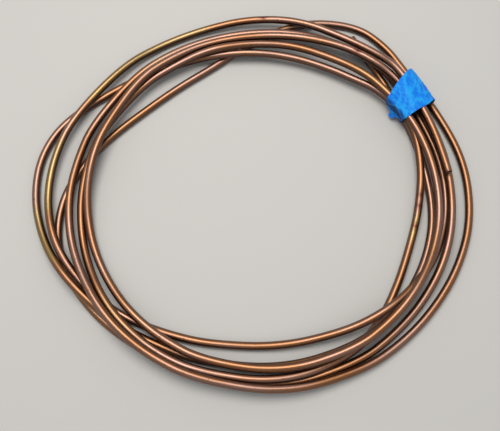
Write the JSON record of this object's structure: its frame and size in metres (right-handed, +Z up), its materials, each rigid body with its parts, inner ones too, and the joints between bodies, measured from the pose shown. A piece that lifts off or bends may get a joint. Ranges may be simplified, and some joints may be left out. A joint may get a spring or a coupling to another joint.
{
  "type": "copper tube coil",
  "caption": "Loose flat coil of bare soft copper tube, its turns crossing one another and bound at one place by a crinkled wrap of tape.",
  "frame": {"origin": "on the floor that the coil lies on, under the middle of its box", "axes": "+Z up from the floor through the coil's opening, +X along the coil's longest extent, with the tape towards +X and +Y"},
  "size_m": [0.5364, 0.4756, 0.0363],
  "materials": {
    "copper": "aged bare copper, satin, with brown tarnish and paler rubbed places",
    "tape": "matt creped paper tape, bright blue"
  },
  "bodies": {
    "root": {"copper_tube": "copper", "tape_wrap": "tape"}
  },
  "joints": []
}
